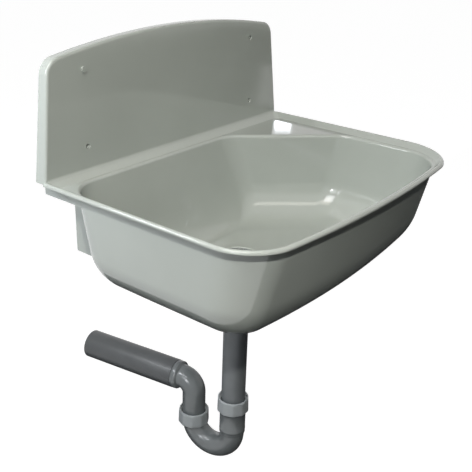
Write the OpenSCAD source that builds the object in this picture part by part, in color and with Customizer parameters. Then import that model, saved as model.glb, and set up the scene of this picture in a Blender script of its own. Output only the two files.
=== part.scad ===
// Wall-hung mop service sink: a one-piece moulded basin with its splash-back, a strainer waste
// and a tubular trap. X runs along the wall, Y into the wall and Z up. The origin lies on the
// wall plane, midway between the four screw holes.

/* [Basin] */
// Width over the rim
basin_w = 520; // [480:1:600]
// Depth from the wall to the middle of the front rim
basin_d = 384; // [360:1:440]
// How far the front rim bows out
rim_bow = 20; // [5:1:30]
// Radius of the rim's left front corner
rim_left_r = 60; // [50:1:100]
// Radius of the rim's right front corner
rim_right_r = 80; // [50:1:100]
// Height of the rolled rim above the foot of the splash-back
rim_crest = 3; // [2:0.5:8]
// Radius of the rolled rim's edge
rim_roll_r = 3.5; // [2:0.5:5]
// Depth of the rim's lower edge below the foot of the splash-back
lip_drop = 2; // [1:0.5:5]
// Depth of the skirts behind the bowl below the foot of the splash-back
skirt_drop = 21; // [14:0.5:30]
// Thickness of the skirts
skirt_t = 3; // [2:0.5:4]
// How far the skirts lie inside the bowl's outer skin
skirt_in = 0.8; // [0.5:0.1:1.5]
// How far the skirts run into the bowl's outer skin
skirt_sink = 8; // [6:0.5:10]
// Chamfer of the rim's back corners
rim_cut = 6; // [4:0.5:10]
// Radius of the rim's back corners
rim_back_r = 3; // [2:0.5:5]
// Thickness of the moulding
wall = 4; // [3:0.5:5]

/* [Bowl] */
// Width of the rim beside the bowl
rim_w = 20; // [17:0.5:35]
// Width of the rim in front of the bowl
front_rim_w = 16; // [13:0.5:30]
// Width of the deck between splash-back and bowl
deck_w = 17; // [14:0.5:40]
// How far the front of the bowl bows out
bowl_bow = 16; // [5:1:20]
// Depth of the ledge and bowl opening below the foot of the splash-back
ledge_drop = 5; // [3:0.5:10]
// Radius of the edge of the bowl opening
opening_r = 5; // [3:0.5:7]
// Width of the level lip round the opening
ledge_lip = 1; // [0.5:0.5:3]
// Depth of the bowl floor's edge below the foot of the splash-back
bowl_depth = 146.5; // [120:0.5:200]
// Fall of the floor from its edge to the drain
floor_fall = 6; // [2:0.5:10]
// Size of the diagonal corner that leaves the ledge
ledge_cut = 140; // [80:1:160]
// Size of the diagonal corner at the floor
floor_cut = 90; // [50:1:110]
// Radius of the bowl's front corners at the opening
bowl_corner_r = 60; // [50:1:90]
// Radius of the bowl's front corners at the floor
floor_corner_r = 42; // [35:1:60]
// Radius of the bowl's back corners
back_corner_r = 50; // [35:1:55]
// Least radius of a corner in the curve from wall to floor
least_corner_r = 12; // [8:1:20]
// Inward lean of the side walls over the depth
side_draft = 4.5; // [2:0.5:15]
// Inward lean of the front wall over the depth
front_draft = 33; // [10:1:45]
// Inward lean of the back wall over the depth
back_draft = 28; // [10:1:40]
// Height of the curve from wall to floor
sweep_h = 58; // [40:1:75]
// Width of that curve at the sides
sweep_side = 73; // [40:1:80]
// Width of that curve at the front
sweep_front = 30; // [25:1:45]
// Width of that curve at the back
sweep_back = 25; // [20:1:35]

/* [Splash-back] */
// Height of the splash-back above its foot, in the middle
panel_h = 180; // [150:1:260]
// Half of its width lost between foot and shoulder
panel_taper = 19; // [5:1:30]
// Height of the shoulders, where the arched top meets the sides
shoulder_h = 158; // [120:1:160]
// Distance from the rim's end to the side of the splash-back's foot
panel_side_gap = 2.5; // [1:0.5:5]
// Radius of the shoulders
shoulder_r = 24; // [10:1:30]
// Distance from the wall to the foot of the panel's face
panel_d = 20; // [16:0.5:35]
// How far the face leans back over its height
panel_lean = 5; // [2:0.5:8]
// Radius of the hollow between panel and deck
foot_r = 6; // [3:0.5:9]
// Distance between the screw holes along the wall
hole_gap_x = 361; // [300:1:400]
// Distance between the screw holes up the wall
hole_gap_z = 104; // [60:1:110]
// Height of the lower screw holes above the panel's foot
hole_low = 36; // [25:1:45]
// Bore of a screw hole
hole_d = 5.5; // [4.5:0.1:7]
// Width of the boss behind a screw hole
boss_d = 15; // [12:0.5:20]
// Distance from the middle of the sink to each gusset
gusset_x = 192; // [150:1:205]
// Depth of the gussets below the foot of the splash-back
gusset_depth = 122; // [80:1:130]
// Depth of the gussets' top at the wall below the foot of the splash-back
gusset_top = 13; // [10:0.5:25]

/* [Waste] */
// Distance from the wall to the drain
drain_y = 145; // [135:1:200]
// Width of the recess round the drain
recess_d = 64; // [58:0.5:68]
// Depth of the recess
recess_depth = 4.5; // [3.5:0.5:7]
// Bore of the drain through the basin
drain_d = 46; // [42:0.5:50]
// Width of the level floor round the recess
recess_land = 6; // [4:0.5:10]
// Gap between the strainer's rim and the side of the recess
recess_clear = 1; // [0.5:0.1:2]
// Thickness of the strainer plate
strainer_t = 1.5; // [1:0.1:2]
// Depth of the strainer's cup
cup_depth = 2; // [1:0.1:3]
// Gap between the strainer's cup and the drain's bore
cup_gap = 1.5; // [0.5:0.1:3]
// Bore of a strainer hole
strainer_hole_d = 5; // [3:0.1:5.5]
// Strainer holes in the inner ring
strainer_inner = 6; // [4:1:7]
// Strainer holes in the outer ring
strainer_outer = 12; // [8:1:13]
// Metal between the centre screw's head and the inner ring of holes
inner_land = 0.6; // [0.4:0.1:1]
// Metal between the outer ring of holes and the side of the cup
outer_land = 1.2; // [0.8:0.1:2]
// Thickness of the seal under the strainer
seal_t = 1.5; // [1:0.1:2]
// Thickness of the gasket under the basin
gasket_t = 2; // [1.5:0.1:4]
// Width over the waste body's flange
body_flange_d = 70; // [66:0.5:80]
// Thickness of that flange
body_flange_t = 4; // [3:0.5:6]
// Width over the waste body's thread
body_thread_d = 47.8; // [46:0.1:50]
// Bore of the waste body
body_bore = 40; // [36:0.5:41]
// Height of the waste body below its flange
body_h = 23; // [20:0.5:35]
// Width of the hub that takes the centre screw
hub_d = 14; // [12:0.5:18]
// Depth of the hub and its arms
hub_h = 9; // [7:0.5:14]
// Thickness of the arms that carry the hub
arm_t = 3; // [2:0.5:5]
// Number of those arms
hub_arms = 3; // [3:1:4]
// Wall of the brass insert in the hub
insert_wall = 1.5; // [1:0.1:2]
// Width of the centre screw
screw_d = 6; // [4:0.5:6]
// Width of the centre screw's head
screw_head_d = 12; // [10:0.5:13]
// Height of the centre screw's head
screw_head_h = 2.2; // [1.8:0.1:3]
// Width of the slot in that head
slot_w = 1.4; // [0.8:0.1:2]
// Length of the centre screw below the hub
screw_out = 2; // [1:0.5:4]
// Chamfer of the centre screw's tip and height of its head's edge
screw_edge = 1; // [0.5:0.1:1.5]

/* [Pipes] */
// Outer width of the tailpiece and of the elbow's leg
tail_d = 40; // [38:0.5:42]
// Wall of the tailpiece
tail_wall = 1.8; // [1.5:0.1:3]
// Depth of the tailpiece's lower end below the inlet nut's top
tail_entry = 42; // [36:0.5:50]
// Width over the tailpiece's collar
collar_d = 46; // [44:0.5:47]
// Thickness of that collar and its washer together
collar_t = 5.5; // [4:0.5:8]
// Thickness of the flat washer above the collar
washer_t = 2; // [1.5:0.1:3]
// Outer width of the U-bend
bend_d = 40.8; // [39:0.1:42]
// Wall of the U-bend and the elbow
bend_wall = 2.2; // [1.8:0.1:3]
// Distance between the two legs of the trap
leg_gap = 79.5; // [76:0.5:110]
// Depth of the U-bend's centre below the inlet nut's top
bend_drop = 75; // [74:0.5:90]
// Height of the outlet nut's top above the U-bend's centre
outlet_nut_rise = 18; // [16:0.5:24]
// Turn of the trap away from straight back, towards the left
trap_turn = 6.5; // [0:0.5:30]
// Outer width of the outlet pipe
outlet_d = 50; // [50:0.5:54]
// Wall of the outlet pipe
outlet_wall = 1.8; // [1.5:0.1:2.5]
// Length of the outlet pipe
outlet_len = 185; // [80:1:300]
// Height of the outlet pipe's axis above the outlet nut's top
outlet_rise = 58; // [54:0.5:80]
// Turn of the outlet pipe away from straight back, towards the left
outlet_turn = 9; // [0:0.5:30]
// Radius of the elbow's bend
elbow_r = 24; // [22:0.5:30]
// Length of the elbow's stop collar
stop_len = 12; // [8:0.5:16]
// Width over that stop collar
stop_d = 49.4; // [47:0.1:49.4]
// Chamfer between the elbow's bend and its stop collar
stop_edge = 3; // [2:0.5:4]
// Length of the elbow's spigot inside the outlet pipe
spigot_len = 22; // [18:0.5:30]
// Width of the groove for the lip seal
groove_w = 4; // [3:0.5:5]
// Depth of that groove
groove_depth = 1.5; // [1:0.1:1.8]
// Height of the elbow's lower end above the outlet nut's foot
leg_clear = 4; // [3:0.5:6]

/* [Slip joints] */
// Width over the corners of a slip nut at its lower edge
nut_d = 55; // [53:0.5:60]
// Width over the corners at its upper edge
nut_top_d = 53.5; // [52:0.5:58]
// Height of a slip nut
nut_h = 25; // [25:0.5:28]
// Flats round a slip nut
nut_flats = 10; // [8:1:12]
// Chamfer of a slip nut's edges
nut_edge = 1.2; // [0.6:0.1:2]
// Turn of the inlet nut's corners
inlet_nut_turn = 3; // [0:1:36]
// Turn of the outlet nut's corners
outlet_nut_turn = 9; // [0:1:36]
// Depth of the open recess in a slip nut's top
nut_recess = 3.5; // [2:0.5:5]
// Width of that recess
nut_recess_d = 45.5; // [44:0.5:47]
// Thickness of the nut's inner shoulder
nut_shoulder = 3; // [2:0.5:4]
// Width over the threads that the slip nuts turn on
thread_d = 46; // [45:0.1:46.2]
// Width of the sleeve below the inlet thread
sleeve_d = 43.8; // [43.5:0.1:45]
// Length of the inlet socket's thread
thread_len = 17; // [14:0.5:19]
// Height of the step inside the inlet socket that the tailpiece stops at
stop_h = 2; // [1:0.5:4]
// Chamfer of a thread's end
thread_edge = 0.5; // [0.3:0.1:0.8]
// Level of the inlet nut's top below the panel's foot
inlet_nut_z = 413; // [380:0.5:450]
// Height of a cone seal's straight rim
seal_rim = 4; // [3:0.5:5]
// Height of a cone seal's cone
seal_cone = 5; // [4:0.5:6]
// Width of the flat ring round the cone
cone_land = 1.4; // [1:0.1:1.8]
// Thickness of the cone at its tip
cone_tip = 0.9; // [0.6:0.1:1.2]
// Depth that the U-bend enters the inlet socket
bend_entry = 12; // [8:0.5:12]
// Length of the U-bend's spigot below the inlet socket
sleeve_gap = 4; // [2:0.5:6]
// Height of the outlet socket's foot above its nut's foot
socket_rise = 0.5; // [0.3:0.1:1]
// Thickness of the outlet socket's floor
socket_floor = 1.5; // [1:0.1:2.5]
// Width over the waste union nut
union_d = 58; // [56:0.5:62]
// Height of the waste union nut
union_h = 26; // [24:0.5:28]
// Ribs round the waste union nut
union_ribs = 12; // [8:1:16]
// Width of a rib
rib_d = 5; // [3:0.5:7]
// Chamfer of the waste union nut's edges
union_edge = 1.5; // [0.5:0.1:2.5]

/* [Fits] */
// Radial gap between sliding pipes and their sockets
slide_gap = 0.3; // [0.2:0.05:0.5]
// Radial gap between a thread and its nut
thread_gap = 0.35; // [0.3:0.05:0.6]
// Radial gap of a rubber seal on its pipe
seal_gap = 0.08; // [0.05:0.01:0.1]
// Gap on each side of the lip seal in its groove
lip_play = 0.2; // [0.1:0.05:0.4]
// Gap between pieces that face each other
face_gap = 0.3; // [0.2:0.05:0.4]

/* [Hidden] */
$fn = 96;

basin_col = "#b9bfba";
pipe_col = "#6b6e70";
nut_col = "#7a7d7e";
rubber_col = "#2e3033";
steel_col = "#c4c6c8";
brass_col = "#b89a5a";

// Overlap of joined shapes and overshoot of cuts
over = 1;

// Levels and places
foot_z = -(hole_low + hole_gap_z / 2);
foot_y = -panel_d;
half_w = basin_w / 2;
rim_back = foot_y + wall;
rim_front = -basin_d + rim_bow;
lean_a = atan(panel_lean / panel_h);
floor_z = foot_z - bowl_depth;
drain_z = floor_z - floor_fall;
recess_z = drain_z - recess_depth;
pad_z = recess_z - wall;
drain = [0, -drain_y];

// The rounded outlines that the basin is lofted through: two back corners, of which the right one
// is cut off diagonally, two front corners and a bowed front
corner_steps = 8;
front_steps = 8;
function unit(v) = v / norm(v);
function mix(a, b, t) = a + (b - a) * t;
function arc_corner(p, a, b, r) =
    let (u = unit(a - p), v = unit(b - p), half = acos(u * v) / 2,
        c = p + unit(u + v) * r / sin(half), s = p + u * r / tan(half) - c, turn = 180 - 2 * half)
    [for (i = [0:corner_steps])
        let (t = -turn * i / corner_steps)
        c + [s[0] * cos(t) - s[1] * sin(t), s[0] * sin(t) + s[1] * cos(t)]];
function bowed(p, hw, yb, yf, bow) =
    [p[0], p[1] - bow * (1 - pow(p[0] / hw, 2)) * (yb - p[1]) / (yb - yf)];
function outline(hw, yb, yf, cut, r_back, r_cut, r_right, r_left, bow) =
    let (a = [-hw, yb], b = [hw - cut, yb], c = [hw, yb - cut], d = [hw, yf], e = [-hw, yf],
        front = [for (i = [1:front_steps - 1]) [mix(hw - r_right, r_left - hw, i / front_steps), yf]],
        flat = concat(arc_corner(a, e, b, r_back), arc_corner(b, a, c, r_cut),
            arc_corner(c, b, d, r_cut), arc_corner(d, c, e, r_right), front,
            arc_corner(e, d, a, r_left)))
    [for (p = flat) bowed(p, hw, yb, yf, bow)];

// An outline of the rim, set in from its outer edge
function rim_outline(inset) =
    outline(half_w - inset, rim_back - inset, rim_front + inset, rim_cut, rim_back_r, rim_back_r,
        rim_right_r - inset, rim_left_r - inset, rim_bow);

// An outline of the bowl: k runs from 0 at the opening to 1 at the floor, s from 0 to 1 through the
// curve from wall to floor, and grow is the distance outside the inner skin
diagonal_growth = 2 - sqrt(2);
function bowl_front_r(k, s) = max(mix(bowl_corner_r, floor_corner_r, k) - sweep_front * s, least_corner_r);
function bowl_outline(k, s, grow) =
    outline(half_w - rim_w - side_draft * k - sweep_side * s + grow,
        foot_y - deck_w - back_draft * k - sweep_back * s + grow,
        rim_front + front_rim_w + front_draft * k + sweep_front * s - grow,
        mix(ledge_cut, floor_cut, k) + grow * diagonal_growth,
        max(back_corner_r - sweep_back * s, least_corner_r) + grow,
        max(back_corner_r - sweep_back * s, least_corner_r) + grow,
        bowl_front_r(k, s) + grow, bowl_front_r(k, s) + grow, bowl_bow);

// Depth share of a level, and the level at an angle through the curve to the floor
sweep_steps = 7;
wall_top = ledge_drop + opening_r;
function share(depth) = (depth - wall_top) / (bowl_depth - wall_top);
function sweep_depth(a) = bowl_depth - sweep_h + sweep_h * sin(a);

function lift(outline, z) = [for (p = outline) [p[0], p[1], z]];
function drain_ring(outline, r, z) =
    [for (p = outline) let (q = drain + unit(p - drain) * r) [q[0], q[1], z]];

// The bowl's skin at a distance outside its inner face, from the opening down to the drain
drain_flat_r = recess_d / 2 + recess_land;
function skin(grow) = concat(
    [lift(bowl_outline(0, 0, grow), foot_z - wall_top)],
    [for (i = [0:sweep_steps])
        let (a = 90 * i / sweep_steps, d = sweep_depth(a))
        lift(bowl_outline(share(d), 1 - cos(a), grow), foot_z - d - grow * sin(a))],
    [drain_ring(bowl_outline(1, 1, grow), drain_flat_r, drain_z - grow)]);
function reversed(list) = [for (i = [len(list) - 1:-1:0]) list[i]];

// The rim, from the bowl opening out over the rolled edge and under its lip
opening_steps = 3;
roll_steps = 4;
roll_arc = 115;
roll_z = foot_z + rim_crest - rim_roll_r;
opening_rings = [for (i = [0:opening_steps - 1])
    let (a = 90 * i / opening_steps)
    lift(bowl_outline(0, 0, opening_r * (1 - sin(a))), foot_z - ledge_drop - opening_r * (1 - cos(a)))];
roll_rings = [for (i = [0:roll_steps])
    let (a = roll_arc * (1 - i / roll_steps))
    lift(rim_outline(rim_roll_r * (1 - cos(a))), roll_z + rim_roll_r * sin(a))];
// Where the slope inside the rolled edge meets the ledge, without the diagonal corner
rim_foot_grow = opening_r + ledge_lip;
rim_foot = outline(half_w - rim_w + rim_foot_grow, foot_y - deck_w + rim_foot_grow,
    rim_front + front_rim_w - rim_foot_grow, rim_cut, rim_back_r, rim_back_r,
    bowl_corner_r + rim_foot_grow, bowl_corner_r + rim_foot_grow, bowl_bow);
ledge_z = foot_z - ledge_drop;
lip_z = foot_z - lip_drop;
basin_rings = concat(reversed(skin(0)), reversed(opening_rings), [lift(rim_foot, ledge_z)],
    roll_rings, [lift(rim_outline(0), lip_z), lift(rim_outline(wall), lip_z)],
    [lift(rim_foot, ledge_z - wall)],
    [lift(bowl_outline(0, 0, wall + ledge_lip / 2), ledge_z - wall)], skin(wall));

module loft(rings) {
    n = len(rings[0]);
    m = len(rings);
    sides = [for (j = [0:m - 2], i = [0:n - 1], half = [0, 1])
        let (a = j * n + i, b = j * n + (i + 1) % n)
        half == 0 ? [a, b + n, b] : [a, a + n, b + n]];
    first = [for (i = [0:n - 1]) i];
    last = [for (i = [n - 1:-1:0]) (m - 1) * n + i];
    polyhedron([for (ring = rings, p = ring) p], concat([first], sides, [last]));
}

// The splash-back's outline, seen from the front
arch_steps = 12;
function panel_half(z) = half_w - panel_side_gap - panel_taper * z / shoulder_h;
function panel_outline(inset, foot) =
    let (top_half = panel_half(shoulder_h) - inset, foot_half = panel_half(foot) - inset,
        arch = [for (i = [-arch_steps + 1:arch_steps - 1])
            let (x = i / arch_steps) [x * (top_half - shoulder_r),
                mix(panel_h, shoulder_h, pow(x * (top_half - shoulder_r) / top_half, 2)) - inset]],
        left = arc_corner([-top_half, shoulder_h - inset], [-foot_half, foot], arch[0], shoulder_r),
        right = arc_corner([top_half, shoulder_h - inset], arch[len(arch) - 1],
            [foot_half, foot], shoulder_r))
    concat([[-foot_half, foot]], left, arch, right, [[foot_half, foot]]);
function face_y(z) = foot_y + (z - foot_z) * tan(lean_a);
hole_places = [for (x = [-1, 1], z = [-1, 1]) [x * hole_gap_x / 2, 0, z * hole_gap_z / 2]];

// A block behind the splash-back's face: its outline drawn in by inset, from one depth to the wall
module panel_block(inset, foot, from) {
    translate([0, foot_y, foot_z])
        rotate([90 - lean_a, 0, 0])
        mirror([0, 0, 1])
        translate([0, 0, from])
        linear_extrude(panel_d + over) polygon(panel_outline(inset, foot));
}

// The splash-back: a leaning face with flanges turned back to the wall, and a boss behind each hole
module splash_back() {
    difference() {
        union() {
            difference() {
                panel_block(0, 0, 0);
                panel_block(wall, -over, wall);
            }
            for (p = hole_places)
                translate(p) rotate([90, 0, 0]) cylinder(h = -face_y(p[2]) - wall / 2, d = boss_d);
        }
        translate([-half_w, 0, foot_z - over]) cube([basin_w, panel_d, panel_h + 2 * over]);
    }
}

// The hollow between the splash-back's face and the sloping deck
deck_run = deck_w - rim_foot_grow - over;
deck_a = atan((rim_crest + ledge_drop) / deck_run);
hollow_z = foot_z + rim_crest + (foot_r - sin(deck_a) * (foot_r - over)) / cos(deck_a);
module foot_hollow() {
    far = [foot_y - foot_r + foot_r * sin(deck_a), hollow_z - foot_r * cos(deck_a)];
    length = 2 * panel_half(0) - 2 * wall;
    translate([-length / 2, 0, 0])
        rotate([90, 0, 90])
        linear_extrude(length)
        difference() {
            polygon([[foot_y + wall / 2, hollow_z], [foot_y, hollow_z], far,
                [far[0], far[1] - over], [foot_y + wall / 2, far[1] - over]]);
            translate([foot_y - foot_r, hollow_z]) circle(foot_r);
        }
}

// A gusset runs from the wall to the back of the bowl, under the deck
gusset_steps = 8;
gusset_sink = 0.6 * wall;
function back_edge(ring, x) =
    max([for (i = [0:len(ring) - 1])
        let (p = ring[i], q = ring[(i + 1) % len(ring)])
        if (p[0] != q[0] && (p[0] - x) * (q[0] - x) <= 0)
        mix(p[1], q[1], (x - p[0]) / (q[0] - p[0]))]);
function skin_at(depth) =
    let (c = (depth - bowl_depth + sweep_h) / sweep_h, a = asin(max(c, 0)))
    bowl_outline(share(depth), 1 - cos(a), wall);
under_top = ledge_drop + wall / 2;
module gusset(x) {
    edge = [for (i = [0:gusset_steps])
        let (depth = mix(under_top, gusset_depth, i / gusset_steps))
        [back_edge(skin_at(max(depth, wall_top)), x) - gusset_sink, foot_z - depth]];
    translate([x - wall / 2, 0, 0])
        rotate([90, 0, 90])
        linear_extrude(wall)
        polygon(concat([[0, foot_z - gusset_top], [rim_back, foot_z - under_top]], edge,
            [[0, foot_z - gusset_depth]]));
}

// A skirt closes each side under the rim, from the wall to the side of the bowl
skirt_x = half_w - rim_w + wall - skirt_in - skirt_t / 2;
module skirt(side) {
    front = [for (depth = [under_top, skirt_drop])
        [back_edge(skin_at(max(depth, wall_top)), side * skirt_x) - skirt_sink, foot_z - depth]];
    translate([side * skirt_x - skirt_t / 2, 0, 0])
        rotate([90, 0, 90])
        linear_extrude(skirt_t)
        polygon(concat([[0, foot_z - under_top]], front, [[0, foot_z - skirt_drop]]));
}

module basin() {
    color(basin_col)
        difference() {
            union() {
                loft(basin_rings);
                splash_back();
                foot_hollow();
                for (side = [-1, 1]) gusset(side * gusset_x);
                for (side = [-1, 1]) skirt(side);
                translate([0, -drain_y, pad_z])
                    cylinder(h = recess_depth + over, d = recess_d + 2 * wall);
            }
            for (p = hole_places)
                translate(p + [0, over, 0]) rotate([90, 0, 0]) cylinder(h = panel_d + 2 * over, d = hole_d);
            translate([0, -drain_y, recess_z]) cylinder(h = recess_depth + over, d = recess_d);
            translate([0, -drain_y, pad_z - over]) cylinder(h = wall + 2 * over, d = drain_d);
        }
}

// Waste: levels down the drain
strainer_z = recess_z + seal_t;
gasket_z = pad_z - gasket_t;
body_z = gasket_z - body_flange_t - body_h;
collar_z = body_z - collar_t;
union_z = collar_z - face_gap - nut_shoulder;
cup_r = drain_d / 2 - cup_gap;
inner_ring_r = screw_head_d / 2 + strainer_hole_d / 2 + inner_land;
outer_ring_r = cup_r - strainer_t - strainer_hole_d / 2 - outer_land;

module at_drain(z) {
    translate([0, -drain_y, z]) children();
}
module turned(points) {
    rotate_extrude() polygon(points);
}
module washer(outer_d, bore_d, h) {
    difference() {
        cylinder(h = h, d = outer_d);
        translate([0, 0, -over]) cylinder(h = h + 2 * over, d = bore_d);
    }
}

// Strainer plate: a flat flange round a shallow perforated cup
module strainer() {
    flange_r = recess_d / 2 - recess_clear;
    color(steel_col)
        at_drain(strainer_z)
        difference() {
            turned([[0, -cup_depth], [cup_r - strainer_t / 2, -cup_depth], [cup_r, 0], [flange_r, 0],
                [flange_r, strainer_t], [cup_r - strainer_t / 2, strainer_t],
                [cup_r - strainer_t, strainer_t - cup_depth], [0, strainer_t - cup_depth]]);
            translate([0, 0, -cup_depth - over]) {
                cylinder(h = 2 * over + strainer_t, d = screw_d + 2 * slide_gap);
                for (i = [1:strainer_inner])
                    rotate([0, 0, 360 * i / strainer_inner])
                    translate([inner_ring_r, 0, 0])
                    cylinder(h = 2 * over + strainer_t, d = strainer_hole_d);
                for (i = [1:strainer_outer])
                    rotate([0, 0, 360 * (i + 0.5) / strainer_outer])
                    translate([outer_ring_r, 0, 0])
                    cylinder(h = 2 * over + strainer_t, d = strainer_hole_d);
            }
        }
}
module strainer_seal() {
    color(rubber_col)
        at_drain(recess_z)
        washer(recess_d - 2 * recess_clear, drain_d + recess_clear, seal_t);
}

module body_gasket() {
    color(rubber_col)
        at_drain(gasket_z)
        washer(body_flange_d - 2 * recess_clear, drain_d + recess_clear, gasket_t);
}

// Waste body: flange, funnel and thread in one, with a hub on three arms for the centre screw
insert_d = screw_d + 2 * insert_wall;
module waste_body() {
    flange_z = gasket_z - body_flange_t;
    color(pipe_col)
        at_drain(0)
        difference() {
            union() {
                turned([[drain_d / 2, gasket_z], [body_flange_d / 2, gasket_z],
                    [body_flange_d / 2, flange_z], [body_thread_d / 2, flange_z],
                    [body_thread_d / 2, body_z], [body_bore / 2, body_z],
                    [body_bore / 2, gasket_z - hub_h]]);
                translate([0, 0, gasket_z - hub_h]) {
                    cylinder(h = hub_h, d = hub_d);
                    for (i = [1:hub_arms])
                        rotate([0, 0, 360 * i / hub_arms + 90])
                        translate([0, -arm_t / 2, 0])
                        cube([body_bore / 2 + over, arm_t, hub_h]);
                }
            }
            translate([0, 0, gasket_z - hub_h - over]) cylinder(h = hub_h + 2 * over, d = insert_d);
        }
}

module screw_insert() {
    color(brass_col)
        at_drain(gasket_z - hub_h)
        washer(insert_d - 2 * seal_gap, screw_d + 2 * seal_gap, hub_h);
}

// Centre screw: raised countersunk head with a slot, its shank through the hub
module centre_screw() {
    seat = strainer_z + strainer_t - cup_depth;
    tip = gasket_z - hub_h - screw_out;
    color(steel_col)
        at_drain(0)
        difference() {
            turned([[0, tip], [screw_d / 2 - screw_edge, tip], [screw_d / 2, tip + screw_edge],
                [screw_d / 2, seat], [screw_head_d / 2, seat], [screw_head_d / 2, seat + screw_edge],
                [screw_head_d / 3, seat + screw_head_h], [0, seat + screw_head_h]]);
            translate([-screw_head_d / 2, -slot_w / 2, seat + screw_edge])
                cube([screw_head_d, slot_w, screw_head_h]);
        }
}

module waste_union_nut() {
    color(nut_col)
        at_drain(union_z)
        difference() {
            union() {
                turned([[0, 0], [union_d / 2 - union_edge, 0], [union_d / 2, union_edge],
                    [union_d / 2, union_h - union_edge], [union_d / 2 - union_edge, union_h], [0, union_h]]);
                for (i = [1:union_ribs])
                    rotate([0, 0, 360 * i / union_ribs])
                    translate([union_d / 2 - rib_d / 4, 0, 2 * union_edge])
                    cylinder(h = union_h - 4 * union_edge, d = rib_d);
            }
            translate([0, 0, -over]) cylinder(h = union_h, d = tail_d + 2 * slide_gap);
            translate([0, 0, nut_shoulder]) cylinder(h = union_h, d = body_thread_d + 2 * thread_gap);
        }
}

module tail_washer() {
    color(rubber_col)
        at_drain(body_z - washer_t)
        washer(collar_d, body_bore, washer_t);
}

module tailpiece() {
    top = body_z - washer_t;
    tip = inlet_nut_top - tail_entry;
    color(pipe_col)
        at_drain(0)
        turned([[tail_d / 2 - tail_wall, top], [collar_d / 2, top], [collar_d / 2, collar_z],
            [tail_d / 2, collar_z], [tail_d / 2, tip], [tail_d / 2 - tail_wall, tip]]);
}

// Slip joint: nut, cone seal and the mouth that the seal wedges into, all hung from the nut's top
seal_top = nut_recess + nut_shoulder + face_gap;
socket_top = seal_top + seal_rim + face_gap;
cone_rim_r = thread_d / 2 - cone_land;
cone_tip_r = tail_d / 2 + cone_tip;
module slip_nut() {
    difference() {
        intersection() {
            translate([0, 0, -nut_h]) cylinder(h = nut_h, d1 = nut_d, d2 = nut_top_d, $fn = nut_flats);
            turned([[0, -nut_h], [nut_d / 2 - nut_edge, -nut_h],
                [nut_d / 2 - nut_edge / 4, nut_edge - nut_h],
                [nut_top_d / 2 - nut_edge / 4, -2 * nut_edge], [nut_top_d / 2 - 1.5 * nut_edge, 0],
                [0, 0]]);
        }
        translate([0, 0, -nut_h - over]) cylinder(h = nut_h + 2 * over, d = tail_d + 4 * slide_gap);
        translate([0, 0, -nut_recess]) cylinder(h = nut_recess + over, d = nut_recess_d);
        translate([0, 0, -nut_h - over])
            cylinder(h = nut_h + over - nut_recess - nut_shoulder, d = thread_d + 2 * thread_gap);
    }
}
module cone_seal() {
    turned([[tail_d / 2 + seal_gap, -seal_top], [thread_d / 2, -seal_top],
        [thread_d / 2, -seal_top - seal_rim], [cone_rim_r, -seal_top - seal_rim],
        [cone_tip_r, -seal_top - seal_rim - seal_cone],
        [tail_d / 2 + seal_gap, -seal_top - seal_rim - seal_cone]]);
}
module mouth() {
    top_r = cone_rim_r + face_gap;
    tip_r = cone_tip_r + face_gap;
    translate([0, 0, -socket_top - seal_cone]) cylinder(h = seal_cone, r1 = tip_r, r2 = top_r);
    translate([0, 0, -socket_top - over / 10]) cylinder(h = over, r = top_r);
}

// Places of the trap's two legs
function heading(turn) = [-sin(turn), cos(turn)];
leg = drain + leg_gap * heading(trap_turn);
inlet_nut_top = foot_z - inlet_nut_z;
bend_top = inlet_nut_top - bend_drop;
outlet_nut_top = bend_top + outlet_nut_rise;
outlet_axis = outlet_nut_top + outlet_rise;
socket_r = tail_d / 2 + slide_gap;
bend_bore_r = bend_d / 2 - bend_wall;

module at_leg(z, turn) {
    translate([leg[0], leg[1], z]) rotate([0, 0, 90 + turn]) children();
}

module inlet_slip_nut() {
    color(nut_col) at_drain(inlet_nut_top) rotate([0, 0, inlet_nut_turn]) slip_nut();
}
module inlet_cone_seal() {
    color(rubber_col) at_drain(inlet_nut_top) cone_seal();
}

// Inlet socket: thread and sleeve for the tailpiece, with the U-bend set into its lower end
module inlet_socket() {
    top = inlet_nut_top - socket_top;
    foot = bend_top + sleeve_gap;
    seat = foot + bend_entry;
    color(pipe_col)
        at_drain(0)
        difference() {
            turned([[bend_bore_r, seat], [socket_r, seat + stop_h], [socket_r, top],
                [thread_d / 2 - thread_edge, top], [thread_d / 2, top - thread_edge],
                [thread_d / 2, top - thread_len], [sleeve_d / 2, top - thread_len - thread_edge],
                [sleeve_d / 2, foot], [bend_d / 2 + seal_gap, foot], [bend_d / 2 + seal_gap, seat]]);
            translate([0, 0, inlet_nut_top]) mouth();
        }
}

// U-bend: spigot, half a ring of pipe, and the threaded socket for the elbow
module u_bend() {
    ring_r = leg_gap / 2;
    spigot = sleeve_gap + bend_entry;
    socket_z = outlet_nut_top - nut_h + socket_rise;
    color(pipe_col)
        at_drain(bend_top)
        rotate([0, 0, 90 + trap_turn])
        difference() {
            union() {
                cylinder(h = spigot, d = bend_d);
                translate([ring_r, 0, 0]) rotate([-90, 0, 0]) rotate_extrude(angle = 180)
                    translate([ring_r, 0]) circle(d = bend_d);
                translate([leg_gap, 0, socket_z - bend_top])
                    cylinder(h = outlet_nut_top - socket_top - socket_z, d = thread_d);
            }
            cylinder(h = spigot + over, r = bend_bore_r);
            translate([ring_r, 0, 0]) rotate([-90, 0, 0]) rotate_extrude(angle = 180)
                translate([ring_r, 0]) circle(r = bend_bore_r);
            translate([leg_gap, 0, socket_z + socket_floor - bend_top])
                cylinder(h = nut_h, r = socket_r);
            translate([leg_gap, 0, outlet_nut_top - bend_top]) mouth();
        }
}

module outlet_slip_nut() {
    color(nut_col) at_leg(outlet_nut_top, trap_turn) rotate([0, 0, outlet_nut_turn]) slip_nut();
}
module outlet_cone_seal() {
    color(rubber_col) at_leg(outlet_nut_top, 0) cone_seal();
}

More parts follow.
